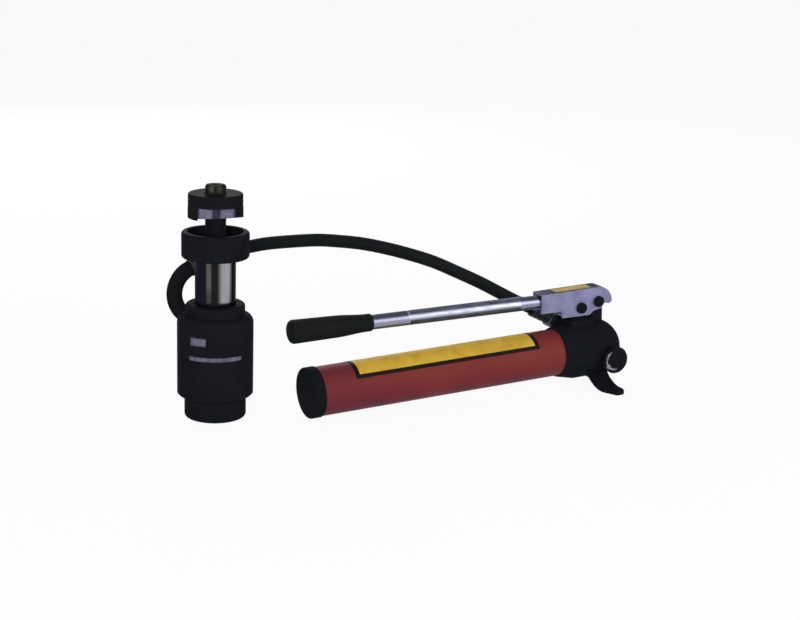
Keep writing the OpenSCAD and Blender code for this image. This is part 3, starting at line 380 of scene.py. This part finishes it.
def knobFinish(s):
    material = copied(bodyBlack, "knobBlack")
    shader, place, base = opened(material)
    x, z = axes(place)[::2]
    dx, dz = x - s["centre"][0], z - s["centre"][1]
    out = place.math("SQRT", dx * dx + dz * dz) / s["radius"]
    left = ((dz * s["lean"] + dx) / s["radius"] * -1.0).rise(*s["leftFrom"])
    paintedCrescent = out.rise(*s["inner"]) * (1.0 - out.rise(*s["outer"])) * left
    paintedCrescent = paintedCrescent * noise(place, s["grain"]).rise(*s["spread"])
    sx, sz = dx - s["spot"][0], dz - s["spot"][1]
    spot = 1.0 - place.math("SQRT", sx * sx + sz * sz).rise(*s["spotSize"])
    spot = spot * noise(place, s["spotGrain"]).rise(*s["spotSpread"])
    # painted highlight: the crescent and the spot take the bare colour and turn metallic
    worn = place.math("MAXIMUM", paintedCrescent, spot)
    feed(shader, "Base Color", colourMix(worn, base, s["bare"]))
    feed(shader, "Metallic", worn)
    return material


# zinc sheet with painted shade on what lies level, read from the piece's own normals: darker and less
# metallic where it faces up
zincLook = {**steel, "colour": rgb(128, 129, 161), "shade": rgb(110, 111, 143), "bare": rgb(185, 187, 205),
            "lineScale": (60.0, 900.0, 900.0), "metal": 0.55, "rough": 0.42, "gloss": 0.06,
            "paintedTopShade": rgb(31, 31, 46), "level": (0.75, 0.95), "topShadeGrain": 90.0, "topShadeSpread": (0.3, 0.7),
            "leastTopShade": 0.75}


def zincFinish(s):
    material = plainSteel("zincSheet", s)
    shader, place, base = opened(material)
    level = axes(place.node("ShaderNodeTexCoord", out="Normal"))[2].rise(*s["level"])
    topShade = level * noise(place, s["topShadeGrain"]).rise(*s["topShadeSpread"]).atLeast(s["leastTopShade"])
    # painted shade on the upward faces, broken by noise
    feed(shader, "Base Color", colourMix(topShade, base, s["paintedTopShade"]))
    feed(shader, "Metallic", s["metal"] * (1.0 - topShade))
    feed(shader, "Specular IOR Level", s["gloss"])
    return material


# stud: black oxide, browner and lighter at the tip, with rubbed patches on the thread's crests
studLook = {"tip": rgb(33, 33, 31), "tipFrom": (0.2640, 0.2700), "bare": rgb(98, 97, 90),
            "rubbedFrom": (0.2690, 0.2755), "rim": (0.0108, 0.0114), "crest": (0.0116, 0.0124),
            "leastCrest": 0.4, "grain": 500.0, "spread": (0.3, 0.6), "leastRubbed": 0.6,
            "patches": [(-2.353, 0.36, 1.0), (-1.536, 0.36, 0.5), (1.0, 0.4, 0.8)]}


def studFinish(s):
    material = copied(oxideBlack, "studBlack")
    shader, place, base = opened(material)
    x, y, z = axes(place)
    out = place.math("SQRT", x * x + y * y)
    crest = out.rise(*s["rim"]) * out.rise(*s["crest"]).atLeast(s["leastCrest"])
    rubbed = angleBands(place.math("ARCTAN2", y, x), s["patches"]) * z.rise(*s["rubbedFrom"]) * crest
    rubbed = rubbed * noise(place, s["grain"]).rise(*s["spread"]).atLeast(s["leastRubbed"])
    tip = colourMix(z.rise(*s["tipFrom"]), base, s["tip"])
    feed(shader, "Base Color", colourMix(rubbed, tip, s["bare"]))
    return material


# red paint round the tube's axis with painted light and shade: warmer on the lit side below the label,
# cooler painted shade at the top and underneath, darker painted shade by the cap
tubeLook = {**black, "colour": rgb(112, 42, 44), "shade": rgb(102, 39, 46), "bare": rgb(130, 76, 74),
            "gloss": 0.08, "cloudScale": 14.0, "axisY": -0.052, "axisZ": 0.02682, "slope": 0.04367,
            "paintedWarmLight": rgb(116, 47, 38), "warmAt": 0.5, "warmTo": (0.1, 0.8), "warmShare": 0.55,
            "paintedCoolShade": rgb(97, 36, 54), "coolFrom": (0.7, 1.5), "coolTo": (1.75, 2.3), "coolShare": 0.8,
            "paintedCapShade": rgb(86, 35, 46), "capShadeTo": (0.13, 0.24), "capShadeShare": 0.45}


def tubeFinish(s):
    material = coatedMetal("redPaint", s)
    shader, place, base = opened(material)
    x, angle = angleRound(place, s)
    away = abs(angle - s["warmAt"])
    # painted shade at the top and underneath, painted light on the side below the label, painted shade by
    # the cap
    paintedCoolShade = away.rise(*s["coolFrom"]) * (1.0 - away.rise(*s["coolTo"]))
    paint = colourMix((1.0 - away.rise(*s["warmTo"])) * s["warmShare"], base, s["paintedWarmLight"])
    paint = colourMix(paintedCoolShade * s["coolShare"], paint, s["paintedCoolShade"])
    paint = colourMix((1.0 - x.rise(*s["capShadeTo"])) * s["capShadeShare"], paint, s["paintedCapShade"])
    feed(shader, "Base Color", paint)
    return material


studBlack = studFinish(studLook)
nodeFinish = {
    bodyBlack: "head_base_cap head_barrel gland_collar head_elbow head_stem",
    oxideBlack: "die fulcrum_pin plunger_pin gland_nut",
    studBlack: "draw_stud",
    cutterFinish(cutterLook): "cutter",
    castBlack: "pump_head stand_foot reservoir_cap filler_plug",
    knobFinish(knobLook): "release_knob",
    sleeveFinish(sleeveLook): "support_sleeve",
    tubeFinish(tubeLook): "reservoir_tube",
    zincFinish(zincLook): "lever_channel",
    handleFinish(handleLook): "handle_rod handle_tube",
    crimpSteel: "head_ferrule pump_ferrule pump_outlet",
    fittingSteel: "pump_swivel_nut release_gland fulcrum_clip plunger_clip foot_screws valve_plug "
                  "relief_screw",
    innerSteel: "ram_piston return_spring release_spindle plunger suction_ball delivery_ball "
                "delivery_spring tie_rod",
    rubber: "hose grip piston_seal rod_seal rod_wiper gland_oring base_oring tube_orings spindle_seal "
            "plunger_seal",
    bronze: "piston_wear_ring suction_strainer",
}
for finish, names in nodeFinish.items():
    for name in names.split():
        nodes[name].data.materials.clear()
        nodes[name].data.materials.append(finish)
print("finishes set on the nodes")


def addObject(name, data):
    made = bpy.data.objects.new(name, data)
    scene.collection.objects.link(made)
    return made


# joins points that lie closer than dist; outwards also turns all faces out
def mergePoints(mesh, dist, outwards=False):
    work = bmesh.new()
    work.from_mesh(mesh)
    bmesh.ops.remove_doubles(work, verts=work.verts, dist=dist)
    if outwards:
        bmesh.ops.recalc_face_normals(work, faces=work.faces)
    work.to_mesh(mesh)
    work.free()


# grid of points (rows, columns, 3) as a mesh of four-sided faces; wrap joins the last column to the first
def surface(name, points, wrap, material, weld=1e-7):
    rows, cols = points.shape[:2]
    spans = cols if wrap else cols - 1
    i, j = (g.ravel() for g in np.meshgrid(np.arange(rows - 1), np.arange(spans), indexing="ij"))
    corners = [(i, j), (i, j + 1), (i + 1, j + 1), (i + 1, j)]
    faces = np.stack([a * cols + b % cols for a, b in corners], 1)
    mesh = bpy.data.meshes.new(name)
    mesh.from_pydata(points.reshape(-1, 3).tolist(), [], faces.tolist())
    uv = np.stack([np.stack([b / spans, a / (rows - 1)], 1) for a, b in corners], 1)
    mesh.uv_layers.new(name="UVMap").data.foreach_set("uv", uv.ravel())
    mergePoints(mesh, weld, True)
    mesh.shade_smooth()
    mesh.materials.append(material)
    return addObject(name, mesh)


# hose: a circle carried along a smooth curve; bow gives the share of the way, then metres sideways and up
hose = {"diameter": 0.016, "sides": 28, "steps": 12,
        "start": (0.014926, 0.065404, 0.175067), "end": (0.423359, -0.024007, 0.099122),
        "bow": [(0.075, 0.0093, 0.0135), (0.141, 0.0147, 0.0225), (0.192, 0.0168, 0.029),
                (0.263, 0.0176, 0.036), (0.334, 0.0164, 0.0425), (0.388, 0.0144, 0.0455),
                (0.464, 0.0106, 0.048), (0.535, 0.007, 0.0475), (0.606, 0.0038, 0.045),
                (0.679, 0.0012, 0.0405), (0.752, -0.001, 0.0325), (0.826, -0.0027, 0.0235),
                (0.884, -0.0033, 0.015), (0.943, -0.0026, 0.0065)],
        "wraps": 17.0, "seam": (0.42, 0.5), "threadsRound": 34.0, "threadsLong": 300.0, "weave": 0.5,
        "printBump": (0.3, 0.0003)}


# points on the straight line from start to end, each moved by its bow
def hoseRoute(s):
    start, end, bow = (np.array(s[k]) for k in ("start", "end", "bow"))
    middle = start + bow[:, :1] * (end - start) + bow * (0, 1, 1)
    return np.vstack([start, middle, end])


# a cubic for each stretch, through both its ends, with the slope there taken from the two neighbours
def smoothRoute(route, steps):
    p = np.array(route)
    p = np.vstack([p[:1], p, p[-1:]])
    a, b, c, d = (p[k:len(p) - 3 + k, None, :] for k in range(4))
    t = np.linspace(0, 1, steps, endpoint=False)[None, :, None]
    q = 0.5 * (2 * b + (c - a) * t + (2 * a - 5 * b + 4 * c - d) * t ** 2
               + (3 * b - a - 3 * c + d) * t ** 3)
    return np.vstack([q.reshape(-1, 3), p[-1:]])


# a circle across the path at each of its points, closed by one point at each end
def tubeAlong(path, radius, sides):
    way = np.gradient(path, axis=0)
    way /= np.linalg.norm(way, axis=1, keepdims=True)
    side = np.cross((0, 0, 1.0), way)
    side /= np.linalg.norm(side, axis=1, keepdims=True)
    up = np.cross(way, side)
    k = np.linspace(0, 2 * np.pi, sides, endpoint=False)[None, :, None]
    rings = path[:, None, :] + radius * (np.cos(k) * side[:, None] + np.sin(k) * up[:, None])
    ends = [np.repeat(path[e][None, None], sides, 1) for e in (0, -1)]
    return np.concatenate([ends[0], rings, ends[1]])


# rubber cover with the print of the cloth tape that it was cured in: a spiral seam and a fine weave
def hoseFinish(s):
    material = copied(rubber, "hoseRubber")
    shader, place = opened(material)[:2]
    u, v = axes(place.node("ShaderNodeTexCoord", out="UV"))[:2]
    seam = abs(place.math("FRACT", v * s["wraps"] + u) - 0.5).rise(*s["seam"])
    weave = place.math("SINE", u * (2 * math.pi * s["threadsRound"]))
    weave = weave * place.math("SINE", v * (2 * math.pi * s["threadsLong"]))
    feed(shader, "Normal", bump(place, s["weave"] * weave - seam, *s["printBump"]))
    return material


hosePath = smoothRoute(hoseRoute(hose), hose["steps"])
hosePiece = surface("pressureHose", tubeAlong(hosePath, hose["diameter"] / 2, hose["sides"]), True,
                    hoseFinish(hose))
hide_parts("hose")
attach(hosePiece, "frame")


# the pump's own frame: x along its axis from the cap's face, y to the far side; gap keeps a patch off it
pump = {"start": (0.095, -0.052), "capRadius": 0.031, "tilt": 2.5006, "tubeRadius": 0.030, "gap": 0.00005}


# turned up by the tilt, at the height at which the cap's lower edge rests on the floor
def pumpToRow(x, y, z):
    t = math.radians(pump["tilt"])
    rise = pump["capRadius"] * math.cos(t)
    x, y, z = np.broadcast_arrays(x, y, z)
    return np.stack([pump["start"][0] + x * math.cos(t) - z * math.sin(t), pump["start"][1] + y,
                     rise + x * math.sin(t) + z * math.cos(t)], -1)


def solid(piece, thickness):  # gives a thin patch its thickness, outwards
    wall = piece.modifiers.new("thickness", "SOLIDIFY")
    wall.thickness, wall.offset = thickness, 1.0


# blank label on the reservoir tube: yellow field in a black frame
label = {"from": 0.056, "to": 0.311, "halfAngle": 56.5, "thick": 0.00015, "rows": 40, "columns": 48,
         "frameWide": 0.085, "frameLong": 0.022, "yellow": rgb(203, 166, 59), "faded": rgb(183, 146, 52),
         "black": rgb(24, 19, 17), "grain": 60.0, "spread": (0.35, 0.75), "rough": 0.42, "fadedRough": 0.15,
         "paper": 700.0, "paperBump": (0.05, 0.0002), "gloss": 0.05}


def labelFinish(s):
    material, shader, place = startMaterial("labelPrint")
    u, v = axes(place.node("ShaderNodeTexCoord", out="UV"))[:2]
    field = (abs(u - 0.5) < 0.5 - s["frameWide"]) * (abs(v - 0.5) < 0.5 - s["frameLong"])
    cloud = noise(place, s["grain"]).rise(*s["spread"])
    yellow = colourMix(cloud, s["yellow"], s["faded"])
    feed(shader, "Base Color", colourMix(field, s["black"], yellow))
    feed(shader, "Roughness", s["rough"] + s["fadedRough"] * cloud)
    feed(shader, "Normal", bump(place, noise(place, s["paper"]), *s["paperBump"]))
    feed(shader, "Specular IOR Level", s["gloss"])
    return material


# an arc of the tube's circle, centred on its top, carried along the tube
def labelPatch(s):
    x = np.linspace(s["from"], s["to"], s["rows"])[:, None]
    a = np.radians(np.linspace(-s["halfAngle"], s["halfAngle"], s["columns"]))[None, :]
    r = pump["tubeRadius"] + pump["gap"]
    return pumpToRow(x, r * np.sin(a), r * np.cos(a))


labelPiece = surface("reservoirLabel", labelPatch(label), False, labelFinish(label))
solid(labelPiece, label["thick"])
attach(labelPiece, "frame")
print("label made")


# yellow plate on the lever channel's top, on the line from its rear end to its nose
plate = {"from": 0.344, "to": 0.397, "halfWidth": 0.0075, "rear": (0.3215, 0.08134),
         "front": (0.40892, 0.08140), "thick": 0.0004, "rows": 20, "columns": 8, "colour": rgb(178, 148, 50),
         "faded": rgb(156, 126, 44), "rim": rgb(156, 126, 44), "grain": 120.0, "spread": (0.35, 0.75)}

# blank patches on the ram's barrel: from and to angle in degrees, lower and upper height
barrel = {"radius": 0.04505, "thick": 0.00015, "rows": 6, "columns": 40, "colour": rgb(98, 95, 120),
          "faded": rgb(58, 56, 73), "rim": rgb(30, 30, 38), "grain": 190.0, "spread": (0.3, 0.8),
          "patches": {"barrelPlate": (210.0, 235.5, 0.0960, 0.1065),
                      "barrelStrip": (207.0, 292.5, 0.0780, 0.0835)}}

# what both kinds of print share; softWide and softLong are how far a rim fades in, as shares of the patch
printLook = {"rough": 0.4, "fadedRough": 0.15, "gloss": 0.25, "softWide": 0.05, "softLong": 0.2}


def printFinish(name, s):
    s = {**printLook, **s}
    material, shader, place = startMaterial(name)
    cloud = noise(place, s["grain"]).rise(*s["spread"])
    u, v = axes(place.node("ShaderNodeTexCoord", out="UV"))[:2]
    inside = (0.5 - abs(u - 0.5)).rise(0.0, s["softWide"]) * (0.5 - abs(v - 0.5)).rise(0.0, s["softLong"])
    feed(shader, "Base Color", colourMix(inside, s["rim"], colourMix(cloud, s["colour"], s["faded"])))
    feed(shader, "Roughness", s["rough"] + s["fadedRough"] * cloud)
    feed(shader, "Specular IOR Level", s["gloss"])
    return material


# a flat strip whose height follows the straight line from rear to front
def platePatch(s):
    x = np.linspace(s["from"], s["to"], s["rows"])[:, None]
    y = np.linspace(-s["halfWidth"], s["halfWidth"], s["columns"])[None, :]
    (x0, z0), (x1, z1) = s["rear"], s["front"]
    return pumpToRow(x, y, z0 + (x - x0) * (z1 - z0) / (x1 - x0) + pump["gap"])


# an arc of the barrel's circle carried up from low to high
def barrelPatch(s, fromAngle, toAngle, low, high):
    a = np.radians(np.linspace(fromAngle, toAngle, s["columns"]))[None, :]
    z = np.linspace(low, high, s["rows"])[:, None]
    return np.stack(np.broadcast_arrays(s["radius"] * np.cos(a), s["radius"] * np.sin(a), z), -1)


platePiece = surface("leverPlate", platePatch(plate), False, printFinish("plateYellow", plate))
solid(platePiece, plate["thick"])
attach(platePiece, "lever")
patchPrint = printFinish("patchPrint", barrel)
for name, extent in barrel["patches"].items():
    patchPiece = surface(name, barrelPatch(barrel, *extent), False, patchPrint)
    solid(patchPiece, barrel["thick"])
    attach(patchPiece, "frame")
print("plate and patches made")


# draw stud with a V thread; flat is the share of its depth that crest and root are cut off by
stud = {"radius": 0.0125, "pitch": 0.002, "depth": 0.0009, "flat": 0.125, "chamfer": 0.0015, "hole": 0.003,
        "holeDepth": 0.002, "holeTip": 0.4, "sides": 72, "rowsPerPitch": 8}


# the radius falls and rises once a pitch along Z and once a turn, and draws in at both ends
def studSurface(s):
    low, high = (corner.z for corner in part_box("draw_stud"))
    rows = int((high - low) / s["pitch"] * s["rowsPerPitch"])
    z = np.linspace(low, high, rows)[:, None]
    k = np.linspace(0, 2 * np.pi, s["sides"], endpoint=False)[None, :]
    phase = np.mod(z / s["pitch"] - k / (2 * np.pi), 1.0)
    flat = s["flat"]
    flank = np.clip((1 + 2 * flat) * np.abs(2 * phase - 1), flat, 1 + flat) - flat
    fade = np.clip((high - z) / s["chamfer"], 0, 1) * np.clip((z - low) / s["chamfer"], 0, 1)
    r = s["radius"] - s["depth"] * (1 - flank) * fade - s["chamfer"] * (1 - fade)
    body = np.stack([r * np.cos(k), r * np.sin(k), z + 0 * k], -1)
    ring = np.stack([np.cos(k), np.sin(k), 0 * k], -1)[0]
    up = np.array((0, 0, 1.0))
    bottom = up * (high - s["holeDepth"])
    top = [ring * s["hole"] + up * high, ring * s["hole"] * s["holeTip"] + bottom, 0 * ring + bottom]
    return np.concatenate([(0 * ring + up * low)[None], body, np.array(top)])


studPiece = surface("threadedStud", studSurface(stud), True, studBlack)
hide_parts("draw_stud")
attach(studPiece, "ram")
print("stud made")


# cast feet: the solid's own form with its edges rounded, as a sand casting has them
feet = {"weld": 1e-6, "voxel": 0.0008, "share": 0.5, "rounds": 14}


def castFeet(s):
    mesh = nodes["stand_foot"].data.copy()
    mesh.name = "castFeet"
    mergePoints(mesh, s["weld"])
    piece = addObject("castFeet", mesh)
    even = piece.modifiers.new("even", "REMESH")
    even.mode, even.voxel_size, even.use_smooth_shade = "VOXEL", s["voxel"], True
    soft = piece.modifiers.new("soft", "SMOOTH")
    soft.factor, soft.iterations = s["share"], s["rounds"]
    return piece


feetPiece = castFeet(feet)
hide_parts("stand_foot")
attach(feetPiece, "frame")
print("feet made")


# return spring; it shortens by the ram's stroke and a little to spare
spring = {"radius": 0.020, "wire": 0.0026, "turns": 6, "stepsPerTurn": 48, "sides": 14, "stroke": 0.025,
          "spare": 0.0006}


# a round wire along a helix that climbs evenly from low to high
def springSurface(s, low, high):
    t = np.linspace(0, 1, s["turns"] * s["stepsPerTurn"] + 1)
    turn = 2 * np.pi * s["turns"] * t
    z = low + s["wire"] + (high - low - 2 * s["wire"]) * t
    helix = np.stack([s["radius"] * np.cos(turn), s["radius"] * np.sin(turn), z], 1)
    return tubeAlong(helix, s["wire"], s["sides"])


springLow, springHigh = (corner.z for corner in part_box("return_spring"))
springPiece = surface("coilSpring", springSurface(spring, springLow, springHigh), True, innerSteel)
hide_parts("return_spring")
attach(springPiece, "frame")
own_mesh(springPiece)
print("spring made")


# floor, backdrop light and lamps: name, place, size and power
studio = {"floorHalf": 20.0, "floorColour": (0.9, 0.9, 0.9, 1.0), "white": (1.0, 1.0, 1.0, 1.0),
          "floorGlow": 0.92, "ambient": 0.3, "aim": (0.25, 0.0, 0.1),
          "lamps": [("keyLamp", (-1.3, -2.3, 1.0), 1.4, 52.0), ("fillLamp", (1.7, -1.8, 0.9), 1.4, 20.0),
                    ("backLamp", (0.4, 2.2, 1.2), 1.6, 30.0)]}


def directRay(wire):  # 1 for camera, mirror and glass rays
    path = wire.tree.nodes.new("ShaderNodeLightPath")
    kinds = ("Is Camera Ray", "Is Glossy Ray", "Is Transmission Ray")
    rays = [Wire(wire.tree, path.outputs[k]) for k in kinds]
    return wire.math("ADD", rays[0] + rays[1], rays[2], clamp=True)


def makeFloor(s):
    half = s["floorHalf"]
    corners = [(-half, -half, 0), (half, -half, 0), (half, half, 0), (-half, half, 0)]
    mesh = bpy.data.meshes.new("floor")
    mesh.from_pydata(corners, [], [(0, 1, 2, 3)])
    addObject("floor", mesh)
    material = bpy.data.materials.new("paleFloor")
    material.use_nodes = True
    tree = material.node_tree
    tree.nodes.clear()
    wire = Wire(tree)
    pale = wire.node("ShaderNodeBsdfDiffuse", {}, {"Color": s["floorColour"]})
    glow = wire.node("ShaderNodeEmission", {}, {"Color": s["white"]})
    both = wire.node("ShaderNodeMixShader", {}, {0: directRay(wire) * s["floorGlow"], 1: pale, 2: glow})
    ending = tree.nodes.new("ShaderNodeOutputMaterial")
    tree.links.new(both.socket, ending.inputs[0])
    mesh.materials.append(material)


def makeWorld(s):
    world = bpy.data.worlds.new("studioWorld")
    world.use_nodes = True
    scene.world = world
    wire = Wire(world.node_tree)
    backdrop = world.node_tree.nodes["Background"]
    feed(backdrop, "Color", s["white"])
    feed(backdrop, "Strength", s["ambient"] + (1.0 - s["ambient"]) * directRay(wire))


def makeLamps(s):
    for name, place, size, power in s["lamps"]:
        data = bpy.data.lights.new(name, "AREA")
        data.size, data.energy = size, power
        lamp = addObject(name, data)
        lamp.location = place
        lamp.rotation_euler = (Vector(s["aim"]) - Vector(place)).to_track_quat("-Z", "Y").to_euler()


makeFloor(studio)
makeWorld(studio)
makeLamps(studio)
scene.view_settings.view_transform = "Standard"
print("studio made")
